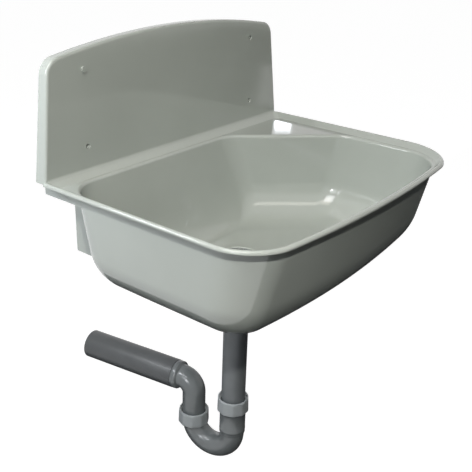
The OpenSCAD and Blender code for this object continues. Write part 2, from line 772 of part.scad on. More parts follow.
// Elbow: leg into the trap, a quarter bend, a stop collar and a spigot for the outlet pipe
spigot_r = outlet_d / 2 - outlet_wall - slide_gap;
groove_r = spigot_r - groove_depth;
groove_at = spigot_len / 2;
elbow_bore_r = tail_d / 2 - bend_wall;
module outlet_elbow() {
    tip = outlet_nut_top - nut_h + leg_clear;
    bend_foot = outlet_axis - elbow_r;
    color(pipe_col)
        at_leg(0, outlet_turn)
        difference() {
            union() {
                translate([0, 0, tip]) cylinder(h = bend_foot - tip, d = tail_d);
                translate([elbow_r, 0, bend_foot]) rotate([90, 0, 0]) rotate([0, 0, 90])
                    rotate_extrude(angle = 90) translate([elbow_r, 0]) circle(d = tail_d);
                translate([elbow_r, 0, outlet_axis]) rotate([0, 90, 0])
                    turned([[0, 0], [stop_d / 2 - stop_edge, 0], [stop_d / 2, stop_edge],
                        [stop_d / 2, stop_len], [spigot_r, stop_len],
                        [spigot_r, stop_len + groove_at], [groove_r, stop_len + groove_at],
                        [groove_r, stop_len + groove_at + groove_w],
                        [spigot_r, stop_len + groove_at + groove_w],
                        [spigot_r, stop_len + spigot_len], [0, stop_len + spigot_len]]);
            }
            translate([0, 0, tip - over]) cylinder(h = bend_foot - tip + over, r = elbow_bore_r);
            translate([elbow_r, 0, bend_foot]) rotate([90, 0, 0]) rotate([0, 0, 90])
                rotate_extrude(angle = 90) translate([elbow_r, 0]) circle(r = elbow_bore_r);
            translate([elbow_r, 0, outlet_axis]) rotate([0, 90, 0])
                cylinder(h = stop_len + spigot_len + over, r = elbow_bore_r);
        }
}

module elbow_lip_seal() {
    bore_r = groove_r + seal_gap;
    outer_r = outlet_d / 2 - outlet_wall - seal_gap;
    color(rubber_col)
        at_leg(outlet_axis, outlet_turn)
        translate([elbow_r + stop_len + groove_at, 0, 0])
        rotate([0, 90, 0])
        turned([[bore_r, lip_play], [spigot_r, lip_play], [outer_r, groove_w / 2],
            [spigot_r, groove_w - lip_play], [bore_r, groove_w - lip_play]]);
}

module outlet_pipe() {
    color(pipe_col)
        at_leg(outlet_axis, outlet_turn)
        translate([elbow_r + stop_len + face_gap, 0, 0])
        rotate([0, 90, 0])
        washer(outlet_d, outlet_d - 2 * outlet_wall, outlet_len);
}

basin();
strainer();
strainer_seal();
centre_screw();
body_gasket();
waste_body();
screw_insert();
waste_union_nut();
tail_washer();
tailpiece();
inlet_slip_nut();
inlet_cone_seal();
inlet_socket();
u_bend();
outlet_slip_nut();
outlet_cone_seal();
outlet_elbow();
elbow_lip_seal();
outlet_pipe();
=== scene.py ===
import math
import bpy
import bmesh
from mathutils import Matrix, Vector


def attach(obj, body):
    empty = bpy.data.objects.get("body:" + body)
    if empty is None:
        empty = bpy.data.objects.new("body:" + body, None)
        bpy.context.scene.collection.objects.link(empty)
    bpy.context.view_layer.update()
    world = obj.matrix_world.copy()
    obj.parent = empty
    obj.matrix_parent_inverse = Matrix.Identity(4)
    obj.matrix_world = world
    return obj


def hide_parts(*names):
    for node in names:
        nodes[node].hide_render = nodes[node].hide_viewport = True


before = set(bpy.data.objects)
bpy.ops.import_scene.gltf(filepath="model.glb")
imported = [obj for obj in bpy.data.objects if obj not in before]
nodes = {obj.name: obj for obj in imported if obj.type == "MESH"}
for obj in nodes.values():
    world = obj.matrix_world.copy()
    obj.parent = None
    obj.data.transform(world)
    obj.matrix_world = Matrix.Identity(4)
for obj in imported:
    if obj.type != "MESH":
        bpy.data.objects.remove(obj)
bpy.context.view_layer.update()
mm = 0.001
print("frame loaded:", len(nodes), "nodes")



def srgb(text):
    parts = [int(text[i:i + 2], 16) / 255 for i in (1, 3, 5)]
    return tuple(c / 12.92 if c <= 0.04045 else ((c + 0.055) / 1.055) ** 2.4 for c in parts) + (1.0,)


def addNode(tree, kind, links=None, inputs=None, **settings):
    node = tree.nodes.new(kind)
    for key, value in settings.items():
        setattr(node, key, value)
    for key, value in (inputs or {}).items():
        node.inputs[key].default_value = value
    for key, source in (links or {}).items():
        tree.links.new(source, node.inputs[key])
    return node


def mix(a, b, t):
    return a + (b - a) * t


def meshObject(name, points, faces, sharpAngle=35):
    mesh = bpy.data.meshes.new(name)
    mesh.from_pydata([tuple(c * mm for c in p) for p in points], [], faces)
    mesh.validate()
    tidy = bmesh.new()
    tidy.from_mesh(mesh)
    bmesh.ops.remove_doubles(tidy, verts=tidy.verts, dist=2e-6)
    bmesh.ops.dissolve_degenerate(tidy, edges=tidy.edges, dist=2e-6)
    bmesh.ops.recalc_face_normals(tidy, faces=tidy.faces)
    tidy.to_mesh(mesh)
    tidy.free()
    obj = bpy.data.objects.new(name, mesh)
    bpy.context.scene.collection.objects.link(obj)
    smooth(obj, sharpAngle)
    return obj


def smooth(obj, sharpAngle=35):
    obj.data.polygons.foreach_set("use_smooth", [True] * len(obj.data.polygons))
    obj.data.set_sharp_from_angle(angle=math.radians(sharpAngle))


def loft(name, rings, closed=False, caps=True, sharpAngle=35):
    count, size = len(rings), len(rings[0])
    points = [p for ring in rings for p in ring]
    faces = []
    for j in range(count if closed else count - 1):
        for i in range(size):
            a, b = j * size + i, j * size + (i + 1) % size
            c, d = ((j + 1) % count) * size + (i + 1) % size, ((j + 1) % count) * size + i
            faces.append((a, b, c, d))
    if caps and not closed:
        faces.append(tuple(range(size - 1, -1, -1)))
        faces.append(tuple((count - 1) * size + i for i in range(size)))
    return meshObject(name, points, faces, sharpAngle)


def rounded(profile, closed=True, steps=4):
    # profile: (x, y, radius) corners; each corner becomes a short arc
    out, count = [], len(profile)
    for i, (x, y, radius) in enumerate(profile):
        if radius <= 0 or (not closed and i in (0, count - 1)):
            out.append((x, y))
            continue
        corner = Vector((x, y))
        a = Vector(profile[i - 1][:2]) - corner
        b = Vector(profile[(i + 1) % count][:2]) - corner
        reach = min(radius, a.length * 0.45, b.length * 0.45)
        start, end = corner + a.normalized() * reach, corner + b.normalized() * reach
        for k in range(steps + 1):
            t = k / steps
            p = start * (1 - t) ** 2 + corner * 2 * t * (1 - t) + end * t ** 2
            out.append((p.x, p.y))
    return out


def circle(radius, level, steps):
    return [Vector((radius * math.cos(2 * math.pi * i / steps), radius * math.sin(2 * math.pi * i / steps),
                    level)) for i in range(steps)]


def lathe(name, profile, steps=96, closed=True, sharpAngle=40):
    rings = [circle(r, z, steps) for r, z in profile]
    return loft(name, rings, closed=closed, caps=False, sharpAngle=sharpAngle)


def place(obj, matrix):
    shift = matrix.copy()
    shift.translation = matrix.translation * mm
    obj.data.transform(shift)
    return obj


def joined(name, parts, sharpAngle=35):
    data = bmesh.new()
    for part in parts:
        data.from_mesh(part.data)
        mesh = part.data
        bpy.data.objects.remove(part)
        bpy.data.meshes.remove(mesh)
    mesh = bpy.data.meshes.new(name)
    data.to_mesh(mesh)
    data.free()
    obj = bpy.data.objects.new(name, mesh)
    bpy.context.scene.collection.objects.link(obj)
    smooth(obj, sharpAngle)
    return obj


def cut(obj, tools):
    for tool in tools:
        modifier = obj.modifiers.new("cut", "BOOLEAN")
        modifier.operation = "DIFFERENCE"
        modifier.solver = "EXACT"
        modifier.object = tool
    apply(obj)
    for tool in tools:
        bpy.data.objects.remove(tool)
    return obj


def apply(obj):
    bpy.context.view_layer.update()
    ready = obj.evaluated_get(bpy.context.evaluated_depsgraph_get())
    mesh = bpy.data.meshes.new_from_object(ready)
    obj.modifiers.clear()
    obj.data = mesh
    return obj


def stands(obj, body, slot, material, *replaced):
    obj.data.materials.clear()
    obj.data.materials.append(material)
    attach(obj, body)
    if replaced:
        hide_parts(*replaced)
    return obj


# solved from the rim, splash-back and pipe edges of the photograph
view = dict(azimuth=-52.55, elevation=24.03, roll=2.01, lens=58.72, place=(-852.5, -791.9, 269.4))


def makeCamera():
    a, e, r = (math.radians(view[k]) for k in ("azimuth", "elevation", "roll"))
    ahead = -Vector((math.sin(a) * math.cos(e), -math.cos(a) * math.cos(e), math.sin(e)))
    right = Vector((math.cos(a), math.sin(a), 0))
    up = right.cross(ahead)
    rolledRight = right * math.cos(r) + up * math.sin(r)
    rolledUp = up * math.cos(r) - right * math.sin(r)
    data = bpy.data.cameras.new("camera")
    data.sensor_width = 36
    data.lens = view["lens"]
    data.clip_end = 100
    camera = bpy.data.objects.new("camera", data)
    camera.matrix_world = Matrix((rolledRight, rolledUp, -ahead)).transposed().to_4x4()
    camera.location = Vector(view["place"]) * mm
    bpy.context.scene.collection.objects.link(camera)
    bpy.context.scene.camera = camera


makeCamera()
bpy.context.scene.view_settings.view_transform = "Standard"
print("camera set")



def newMaterial(name):
    material = bpy.data.materials.new(name)
    material.use_nodes = True
    tree = material.node_tree
    tree.nodes.clear()
    out = addNode(tree, "ShaderNodeOutputMaterial")
    shader = addNode(tree, "ShaderNodeBsdfPrincipled")
    tree.links.new(shader.outputs[0], out.inputs[0])
    where = addNode(tree, "ShaderNodeTexCoord")
    return material, tree, shader, where.outputs["Object"]


def moulded(name, look):
    # pale and dark tint drift slowly, fine grain lifts the surface, scuffs change the gloss
    material, tree, shader, coords = newMaterial(name)
    shader.inputs["IOR"].default_value = look["ior"]
    cloud = addNode(tree, "ShaderNodeTexNoise", {"Vector": coords},
                    {"Scale": 1000 / look["cloudSize"], "Detail": 3.0, "Roughness": 0.5})
    tint = addNode(tree, "ShaderNodeValToRGB", {"Fac": cloud.outputs[0]})
    tint.color_ramp.elements[0].position, tint.color_ramp.elements[1].position = 0.3, 0.7
    tint.color_ramp.elements[0].color = srgb(look["low"])
    tint.color_ramp.elements[1].color = srgb(look["high"])
    tree.links.new(tint.outputs[0], shader.inputs["Base Color"])
    stretched = addNode(tree, "ShaderNodeMapping", {"Vector": coords},
                        {"Rotation": look.get("grainTurn", (0, 0, 0)),
                         "Scale": look.get("grainStretch", (1, 1, 1))})
    grain = addNode(tree, "ShaderNodeTexNoise", {"Vector": stretched.outputs[0]},
                    {"Scale": 1000 / look["grainSize"], "Detail": 2.0, "Roughness": 0.55})
    scuff = addNode(tree, "ShaderNodeTexNoise", {"Vector": stretched.outputs[0]},
                    {"Scale": 1000 / look["scuffSize"], "Detail": 5.0, "Roughness": 0.65})
    gloss = addNode(tree, "ShaderNodeMapRange", {"Value": scuff.outputs[0]},
                    {"From Min": 0.3, "From Max": 0.7, "To Min": look["gloss"][0],
                     "To Max": look["gloss"][1]})
    tree.links.new(gloss.outputs[0], shader.inputs["Roughness"])
    bump = addNode(tree, "ShaderNodeBump", {"Height": grain.outputs[0]},
                   {"Strength": look["bump"], "Distance": look["grainHeight"] * mm})
    tree.links.new(bump.outputs[0], shader.inputs["Normal"])
    return material


# injection-moulded polystyrene: a hard glossy skin with a faint orange peel about 3 mm across
tubLook = dict(low="#a9afaa", high="#b0b6b1", cloudSize=160, grainSize=3.2, grainHeight=0.02, bump=0.35,
               scuffSize=9, gloss=(0.05, 0.09), ior=1.55)
# moulded polypropylene fittings: satin, with the sandblasted grain of the tool
fittingLook = dict(low="#707577", high="#797e80", cloudSize=40, grainSize=0.9, grainHeight=0.03, bump=0.4,
                   scuffSize=6, gloss=(0.18, 0.26), ior=1.49)
# extruded polypropylene tube: drawn lines run along it, which stretch the highlight
tubeLook = dict(low="#73777a", high="#7d8184", cloudSize=50, grainSize=0.8, grainHeight=0.02, bump=0.4,
                grainStretch=(1, 1, 0.04), scuffSize=8, gloss=(0.34, 0.46), ior=1.49)
# slip nuts: the same plastic, with its tint painted paler as painted light that stands in for lamplight
# missing under the tub
nutPaintedLightLook = dict(low="#a2a8ab", high="#acb1b4", cloudSize=25, grainSize=0.7, grainHeight=0.02, bump=0.35,
               scuffSize=5, gloss=(0.30, 0.40), ior=1.49)
# vulcanised rubber: matt black with a fine dusty bloom
rubberLook = dict(low="#1c1d1f", high="#2b2c2e", cloudSize=12, grainSize=0.5, grainHeight=0.02, bump=0.5,
                  scuffSize=3, gloss=(0.65, 0.85), ior=1.52)


def brushed(name, look):
    # metal: fine lines turned round the axis or drawn across the sheet, soft smears in the gloss
    material, tree, shader, coords = newMaterial(name)
    shader.inputs["Metallic"].default_value = 1.0
    stretched = addNode(tree, "ShaderNodeMapping", {"Vector": coords}, {"Scale": look["stretch"]})
    lines = addNode(tree, "ShaderNodeTexNoise", {"Vector": stretched.outputs[0]},
                    {"Scale": 1000 / look["lineSize"], "Detail": 3.0})
    tint = addNode(tree, "ShaderNodeValToRGB", {"Fac": lines.outputs[0]})
    tint.color_ramp.elements[0].color = srgb(look["low"])
    tint.color_ramp.elements[1].color = srgb(look["high"])
    tree.links.new(tint.outputs[0], shader.inputs["Base Color"])
    gloss = addNode(tree, "ShaderNodeMapRange", {"Value": lines.outputs[0]},
                    {"To Min": look["gloss"][0], "To Max": look["gloss"][1]})
    tree.links.new(gloss.outputs[0], shader.inputs["Roughness"])
    bump = addNode(tree, "ShaderNodeBump", {"Height": lines.outputs[0]},
                   {"Strength": 0.3, "Distance": 0.01 * mm})
    tree.links.new(bump.outputs[0], shader.inputs["Normal"])
    return material


# pressed stainless sheet, rolled finish: bright grey with lines along X
steelLook = dict(low="#a9abad", high="#d2d4d5", stretch=(0.05, 1, 1), lineSize=0.5, gloss=(0.18, 0.34))
# turned brass: warm, with rings left by the tool
brassLook = dict(low="#a8843f", high="#cda65c", stretch=(1, 1, 12), lineSize=1.2, gloss=(0.2, 0.35))

tubPlastic = moulded("mouldedPolystyreneLightGrey", tubLook)
fittingPlastic = moulded("mouldedPolypropyleneGrey", fittingLook)
tubePlastic = moulded("extrudedPolypropyleneTube", tubeLook)
# the nut plastic's pale tint is painted light
nutPlasticPaintedLight = moulded("mouldedPolypropyleneNutPaintedLight", nutPaintedLightLook)
rubber = moulded("vulcanisedRubberBlack", rubberLook)
stainless = brushed("rolledStainlessSteel", steelLook)
brass = brushed("turnedBrass", brassLook)
print("materials made")

# sizes in millimetres, as in the CAD
tub = dict(width=520, depth=384, rimBow=20, rimLeft=60, rimRight=80, crest=3, roll=3.5, lipDrop=2,
           skirtDrop=21, wall=4, rimSide=20, rimFront=16, deck=17, bowlBow=16, ledgeDrop=5, opening=5,
           bowl=146.5, fall=6, ledgeCut=140, floorCut=90, corner=60, floorCorner=42, backCorner=50,
           sideDraft=4.5, frontDraft=33, backDraft=28, sweepHeight=58, sweepSide=73, sweepFront=30,
           sweepBack=25, panel=180, taper=19, shoulder=158, shoulderRadius=24, panelDepth=20, lean=5,
           foot=6, panelEdge=3.5, sideGap=2.5, holeX=361, holeZ=104, hole=5.5, boss=15, holeLow=36,
           gussetX=192, gussetDepth=122, gussetTop=13, skirt=3, skirtIn=0.8, skirtSink=8, drainY=145,
           recess=64, recessDepth=4.5, drain=46)
footZ = -(tub["holeLow"] + tub["holeZ"] / 2)
footY = -tub["panelDepth"]
halfWidth = tub["width"] / 2
rimBack = footY + tub["wall"]
rimFrontY = -tub["depth"] + tub["rimBow"]
leanAngle = math.atan(tub["lean"] / tub["panel"])
floorZ = footZ - tub["bowl"]
drainTop = floorZ - tub["fall"]
recessZ = drainTop - tub["recessDepth"]
padZ = recessZ - tub["wall"]
drainCentre = Vector((0, -tub["drainY"]))
cornerSteps, straightSteps = 18, 24


def arcCorner(corner, before, after, radius):
    u, v = (before - corner).normalized(), (after - corner).normalized()
    half = math.acos(max(-1, min(1, u.dot(v)))) / 2
    centre = corner + (u + v).normalized() * radius / math.sin(half)
    start = corner + u * radius / math.tan(half) - centre
    turn = math.pi - 2 * half
    out = []
    for i in range(cornerSteps + 1):
        t = -turn * i / cornerSteps
        out.append(centre + Vector((start.x * math.cos(t) - start.y * math.sin(t),
                                    start.x * math.sin(t) + start.y * math.cos(t))))
    return out


def outline(hw, yb, yf, cutSize, back, cutRadius, right, left, bow):
    a, b, c = Vector((-hw, yb)), Vector((hw - cutSize, yb)), Vector((hw, yb - cutSize))
    d, e = Vector((hw, yf)), Vector((-hw, yf))
    arcs = [arcCorner(a, e, b, back), arcCorner(b, a, c, cutRadius), arcCorner(c, b, d, cutRadius),
            arcCorner(d, c, e, right), arcCorner(e, d, a, left)]
    flat = []
    for k, arc in enumerate(arcs):
        flat += arc
        following = arcs[(k + 1) % 5][0]
        flat += [arc[-1].lerp(following, i / straightSteps) for i in range(1, straightSteps)]
    return [Vector((p.x, p.y - bow * (1 - (p.x / hw) ** 2) * (yb - p.y) / (yb - yf))) for p in flat]


def rimOutline(inset):
    return outline(halfWidth - inset, rimBack - inset, rimFrontY + inset, 6, 3, 3,
                   tub["rimRight"] - inset, tub["rimLeft"] - inset, tub["rimBow"])


def bowlOutline(k, s, grow):
    back = max(tub["backCorner"] - tub["sweepBack"] * s, 12) + grow
    front = max(mix(tub["corner"], tub["floorCorner"], k) - tub["sweepFront"] * s, 12) + grow
    return outline(halfWidth - tub["rimSide"] - tub["sideDraft"] * k - tub["sweepSide"] * s + grow,
                   footY - tub["deck"] - tub["backDraft"] * k - tub["sweepBack"] * s + grow,
                   rimFrontY + tub["rimFront"] + tub["frontDraft"] * k + tub["sweepFront"] * s - grow,
                   mix(tub["ledgeCut"], tub["floorCut"], k) + grow * (2 - math.sqrt(2)), back, back,
                   front, front, tub["bowlBow"])


wallTop = tub["ledgeDrop"] + tub["opening"]


def share(depth):
    return (depth - wallTop) / (tub["bowl"] - wallTop)


def lift(flat, z):
    return [Vector((p.x, p.y, z)) for p in flat]


def circleFrom(flat, radius, z):
    return [Vector((*(drainCentre + (p - drainCentre).normalized() * radius), z)) for p in flat]


def skinRings(grow, sweepSteps=16, floorSteps=14):
    rings = [(lift(bowlOutline(share(d), 0, grow), footZ - d), 0)
             for d in (wallTop, *(mix(wallTop, tub["bowl"] - tub["sweepHeight"], t) for t in (0.35, 0.7)))]
    for i in range(sweepSteps + 1):
        a = math.radians(90) * i / sweepSteps
        depth = tub["bowl"] - tub["sweepHeight"] * (1 - math.sin(a))
        rings.append((lift(bowlOutline(share(depth), 1 - math.cos(a), grow),
                           footZ - depth - grow * math.sin(a)), 0))
    edge, flatRadius = bowlOutline(1, 1, grow), tub["recess"] / 2 + 6
    for i in range(1, floorSteps + 1):
        t = i / floorSteps
        target = [drainCentre + (p - drainCentre).normalized() * flatRadius for p in edge]
        z = mix(floorZ, drainTop, t * t * (3 - 2 * t)) - grow
        rings.append(([Vector((*p.lerp(q, t), z)) for p, q in zip(edge, target)], 0))
    return rings


def softened(rings, steps=5):
    # rings with a soft value get a small arc in place of the crease, point by point
    out, count = [], len(rings)
    for j, (ring, soft) in enumerate(rings):
        if soft <= 0:
            out.append(ring)
            continue
        before, after = rings[j - 1][0], rings[(j + 1) % count][0]
        for k in range(steps + 1):
            t = k / steps
            arc = []
            for p, a, b in zip(ring, before, after):
                toA, toB = a - p, b - p
                start = p + toA * min(0.45, soft / max(toA.length, 1e-6))
                end = p + toB * min(0.45, soft / max(toB.length, 1e-6))
                arc.append(start * (1 - t) ** 2 + p * 2 * t * (1 - t) + end * t ** 2)
            out.append(arc)
    return out


def makeBowlAndRim():
    ledgeZ = footZ - tub["ledgeDrop"]
    edge = bowlOutline(1, 1, 0)
    half = tub["recess"] / 2
    rings = [(circleFrom(edge, tub["drain"] / 2, recessZ), 0.6), (circleFrom(edge, half, recessZ), 1.2),
             (circleFrom(edge, half, drainTop), 2.5), (circleFrom(edge, half + 4, drainTop), 0)]
    rings += skinRings(0)[::-1]
    for i in range(7):
        a = math.radians(90) * i / 7
        rings.append((lift(bowlOutline(0, 0, tub["opening"] * (1 - math.cos(a))),
                           ledgeZ - tub["opening"] * (1 - math.sin(a))), 0))
    foot = outline(halfWidth - tub["rimSide"] + 6, footY - tub["deck"] + 6, rimFrontY + tub["rimFront"] - 6,
                   6, 3, 3, tub["corner"] + 6, tub["corner"] + 6, tub["bowlBow"])
    rings += [(lift(bowlOutline(0, 0, tub["opening"]), ledgeZ), 0), (lift(foot, ledgeZ), 2.2)]
    rollZ = footZ + tub["crest"] - tub["roll"]
    for i in range(11):
        a = math.radians(115 - 115 * i / 10)
        rolled = rimOutline(tub["roll"] * (1 - math.cos(a)))
        rings.append((lift(rolled, rollZ + tub["roll"] * math.sin(a)), 0))
    wall = tub["wall"]
    lipZ = footZ - tub["lipDrop"]
    rings += [(lift(rimOutline(0), lipZ), 0.6), (lift(rimOutline(wall), lipZ), 0.8),
              (lift(foot, ledgeZ - wall), 1.5), (lift(bowlOutline(0, 0, wall + 0.5), ledgeZ - wall), 1.0)]
    rings += skinRings(wall)
    rings += [(circleFrom(edge, half + wall, drainTop - wall), 1.0),
              (circleFrom(edge, half + wall, padZ), 0.8), (circleFrom(edge, tub["drain"] / 2, padZ), 0.5)]
    return loft("bowl", softened(rings), closed=True, sharpAngle=50)


def panelHalf(z):
    return halfWidth - tub["sideGap"] - tub["taper"] * z / tub["shoulder"]


def panelOutline(inset, foot=0):
    top, low = panelHalf(tub["shoulder"]) - inset, panelHalf(foot) - inset
    radius, shoulder = tub["shoulderRadius"] - min(inset, tub["wall"]), tub["shoulder"]
    arch = []
    for i in range(-29, 30):
        x = i / 30 * (top - radius)
        arch.append(Vector((x, mix(tub["panel"], shoulder, (x / top) ** 2) - inset)))
    footLeft, footRight, rise = Vector((-low, foot)), Vector((low, foot)), 16
    left = arcCorner(Vector((-top, shoulder - inset)), footLeft, arch[0], radius)
    right = arcCorner(Vector((top, shoulder - inset)), arch[-1], footRight, radius)
    leftEdge = [footLeft.lerp(left[0], i / rise) for i in range(rise)]
    rightEdge = [right[-1].lerp(footRight, i / rise) for i in range(1, rise + 1)]
    base = [footRight.lerp(footLeft, i / 40) for i in range(1, 40)]
    return leftEdge + left + arch + right + rightEdge + base


faceUp = Vector((0, math.sin(leanAngle), math.cos(leanAngle)))
faceBack = Vector((0, math.cos(leanAngle), -math.sin(leanAngle)))


def behindFace(p, depth):
    base = Vector((p.x, footY, footZ)) + faceUp * p.y
    return base + faceBack * depth


def toWall(p):
    base = behindFace(p, 0)
    return base + faceBack * (-base.y / faceBack.y)


def makePanel():
    edge, wall, rings = tub["panelEdge"], tub["wall"], []
    for inset in (edge + 3, edge + 0.8):
        rings.append([behindFace(p, 0) for p in panelOutline(inset)])
    for i in range(9):
        a = math.radians(90) * i / 8
        rings.append([behindFace(p, edge * (1 - math.cos(a)))
                      for p in panelOutline(edge * (1 - math.sin(a)))])
    rings.append([toWall(p) - faceBack * 0.6 for p in panelOutline(0)])
    rings.append([toWall(p) for p in panelOutline(0.6)])
    rings.append([toWall(p) for p in panelOutline(wall)])
    panel = loft("panel", rings, sharpAngle=28)
    # the hollow behind the face is open at its foot
    inside = []
    for i in range(6):
        a = math.radians(90) * i / 5
        inside.append([behindFace(p, wall + 2.5 * (1 - math.sin(a)))
                       for p in panelOutline(wall + 2.5 * (1 - math.cos(a)), -12)])
    inside = inside[::-1] + [[toWall(p) + faceBack * 4 for p in panelOutline(wall, -12)]]
    cut(panel, [loft("hollow", inside)])
    holes, bosses = [], []
    for x in (-1, 1):
        for z in (-1, 1):
            spot = Vector((x * tub["holeX"] / 2, 0, z * tub["holeZ"] / 2))
            face = footY + (spot.z - footZ) * math.tan(leanAngle)
            turn = Matrix.Translation(Vector((spot.x, face, spot.z))) @ Matrix.Rotation(math.pi / 2, 4, "X")
            radius = tub["hole"] / 2
            # the tool opens towards the face: a small countersink, then the bore
            tool = lathe("tool", [(0, 3), (radius + 1.3, 3), (radius + 1.3, 0.1), (radius + 0.9, -0.25),
                                  (radius, -1.1), (radius, -14), (0, -14)], 40, closed=False)
            holes.append(place(tool, turn))
            depth = -face
            boss = lathe("boss", rounded([(radius, -depth, 0.3), (tub["boss"] / 2, -depth, 0.5),
                                          (tub["boss"] / 2 + 0.3, -tub["wall"] - 2, 1.5),
                                          (tub["boss"] / 2 + 2.5, -tub["wall"] + 0.5, 0),
                                          (radius, -tub["wall"] + 0.5, 0)]), 48)
            bosses.append(place(boss, turn))
    cut(panel, holes)
    return [panel] + bosses


def makeFootFillet():
    # the concave blend from the splash-back's face down to the deck
    radius, run = tub["foot"], tub["deck"] - 6 - 1
    slope = math.atan((tub["crest"] + tub["ledgeDrop"]) / run)
    centreZ = footZ + tub["crest"] + (radius - math.sin(slope) * (radius - 1)) / math.cos(slope)
    section = [(footY + 2, centreZ)]
    for i in range(15):
        a = mix(0, -(math.pi / 2 - slope), i / 14)
        section.append((footY - radius + radius * math.cos(a), centreZ + radius * math.sin(a)))
    last = section[-1]
    section += [(last[0], last[1] - 1), (footY + 2, last[1] - 1)]
    half = panelHalf(0) - tub["wall"]
    rings = [[Vector((x, y, z)) for y, z in section] for x in (-half, 0, half)]
    return loft("footFillet", rings, sharpAngle=30)


def backEdge(ring, x):
    best = -1e9
    for i, p in enumerate(ring):
        q = ring[(i + 1) % len(ring)]
        if p.x != q.x and (p.x - x) * (q.x - x) <= 0:
            best = max(best, mix(p.y, q.y, (x - p.x) / (q.x - p.x)))
    return best


underTop = tub["ledgeDrop"] + tub["wall"] / 2


def skinBack(depth, x):
    # the back of the bowl's outer skin at a depth, over one place along the wall
    depth = max(depth, wallTop)
    angle = math.asin(max((depth - tub["bowl"] + tub["sweepHeight"]) / tub["sweepHeight"], 0))
    return backEdge(bowlOutline(share(depth), 1 - math.cos(angle), tub["wall"]), x)


def makeRib(name, x, thick, section, edge):
    # a flat rib across X from its (y, z, rounding) corners, with its edges broken
    flat = rounded(section)
    centre = Vector((sum(p[0] for p in flat), sum(p[1] for p in flat))) / len(flat)
    rings = []
    for side, inset in ((-1, edge), (-1, 0), (1, 0), (1, edge)):
        offset = side * (thick / 2 - (0 if inset else edge))
        ring = []
        for y, z in flat:
            pull = (centre - Vector((y, z))).normalized() * inset
            ring.append(Vector((x + offset, y + pull.x, z + pull.y)))
        rings.append(ring)
    return loft(name, rings, sharpAngle=40)


def makeGusset(x):
    section = [(0, footZ - tub["gussetTop"], 0.5), (rimBack, footZ - underTop, 0)]
    for i in range(13):
        depth = mix(underTop, tub["gussetDepth"], i / 12)
        section.append((skinBack(depth, x) - 0.6 * tub["wall"], footZ - max(depth, wallTop), 0))
    section.append((0, footZ - tub["gussetDepth"], 2.5))
    return makeRib("gusset", x, tub["wall"], section, 0.7)


def makeSkirt(side):
    thick = tub["skirt"]
    x = side * (halfWidth - tub["rimSide"] + tub["wall"] - tub["skirtIn"] - thick / 2)
    section = [(0, footZ - underTop, 0)]
    section += [(skinBack(depth, x) - tub["skirtSink"], footZ - depth, 0)
                for depth in (underTop, tub["skirtDrop"])]
    section.append((0, footZ - tub["skirtDrop"], 1.5))
    return makeRib("skirt", x, thick, section, 0.5)


def makeTub():
    parts = [makeBowlAndRim(), *makePanel(), makeFootFillet()]
    parts += [makeGusset(side * tub["gussetX"]) for side in (-1, 1)]
    parts += [makeSkirt(side) for side in (-1, 1)]
    moulding = joined("tubMoulding", parts, 28)
    weighted = moulding.modifiers.new("evenShading", "WEIGHTED_NORMAL")
    weighted.keep_sharp = True
    weighted.weight = 60
    return stands(apply(moulding), "basin", "tub", tubPlastic, "basin")


makeTub()
print("tub made")

waste = dict(seal=1.5, gasket=2, plate=1.5, cup=2, holes=5, screw=6, screwHead=12, flangeHeight=4, body=23,
             collar=46, collarHeight=5.5, tail=40, tailWall=1.8, tailEnd=455, centreHole=6.6,
             holeRings=((1, 0, 0), (6, 9.1, 0), (12, 16.3, 0.5)))   # count, radius, share of a step turned
atDrain = Matrix.Translation(Vector((*drainCentre, 0)))
strainerZ = recessZ + waste["seal"]
gasketZ = padZ - waste["gasket"]
bodyZ = gasketZ - waste["flangeHeight"] - waste["body"]
collarZ = bodyZ - waste["collarHeight"]


def makeStrainer():
    edge, cup, t = tub["recess"] / 2 - 1, tub["drain"] / 2 - 1.5, waste["plate"]
    z, drop = strainerZ, waste["cup"]
    plate = lathe("strainerPlate", rounded([
        (0, z - drop, 0), (cup - t, z - drop, 0.8), (cup, z, 0.8), (edge, z, 0.4), (edge, z + t, 0.7),
        (cup - t / 2, z + t, 0.8), (cup - 1.5 * t, z + t - drop, 0.8), (0, z + t - drop, 0)],
        closed=False), 128, closed=False)
    tools = []
    for count, radius, offset in waste["holeRings"]:
        for i in range(count):
            a, r = 2 * math.pi * (i + offset) / count, waste["holes" if radius else "centreHole"] / 2
            spot = Matrix.Translation(Vector((radius * math.cos(a), radius * math.sin(a), z - drop)))
            # each punched hole has a rolled lip on the face side
            tool = lathe("tool", [(0, 5), (r + 0.45, 5), (r + 0.45, 1.5), (r + 0.12, 1.25), (r, 1.0),
                                  (r, -2), (0, -2)], 28, closed=False)
            tools.append(place(tool, spot))
    cut(plate, tools)
    place(plate, atDrain)
    smooth(plate, 35)
    return stands(plate, "basin", "stainless", stainless, "strainer")


def makeScrew():
    seat, tip = strainerZ + waste["plate"] - waste["cup"], gasketZ - 11
    shank = waste["screw"] / 2
    profile = [(0, tip, 0), (shank - 0.8, tip, 0.3), (shank, tip + 0.8, 0.2)]
    z, pitch = tip + 2.0, 1.0
    while z < gasketZ - 1:   # 1 mm thread, drawn as rings
        profile += [(shank, z, 0), (shank - 0.45, z + pitch / 2, 0)]
        z += pitch
    head = waste["screwHead"] / 2
    profile += [(shank, z, 0), (shank, seat, 0), (head, seat, 0.3), (head, seat + 0.9, 0.4),
                (head * 0.62, seat + 2.1, 1.5), (0, seat + 2.2, 0)]
    screw = lathe("centreScrewBody", rounded(profile, closed=False), 48, closed=False)
    bm = bmesh.new()
    bmesh.ops.create_cube(bm, size=1, matrix=Matrix.Translation(Vector((0, 0, seat + 2.4)) * mm)
                          @ Matrix.Diagonal(Vector((14, 1.4, 2.6, 1000)) * mm))
    slotMesh = bpy.data.meshes.new("slotTool")
    bm.to_mesh(slotMesh)
    bm.free()
    slotTool = bpy.data.objects.new("slotTool", slotMesh)
    bpy.context.scene.collection.objects.link(slotTool)
    cut(screw, [slotTool])
    place(screw, atDrain)
    smooth(screw, 30)
    return stands(screw, "basin", "stainless", stainless, "centre_screw")


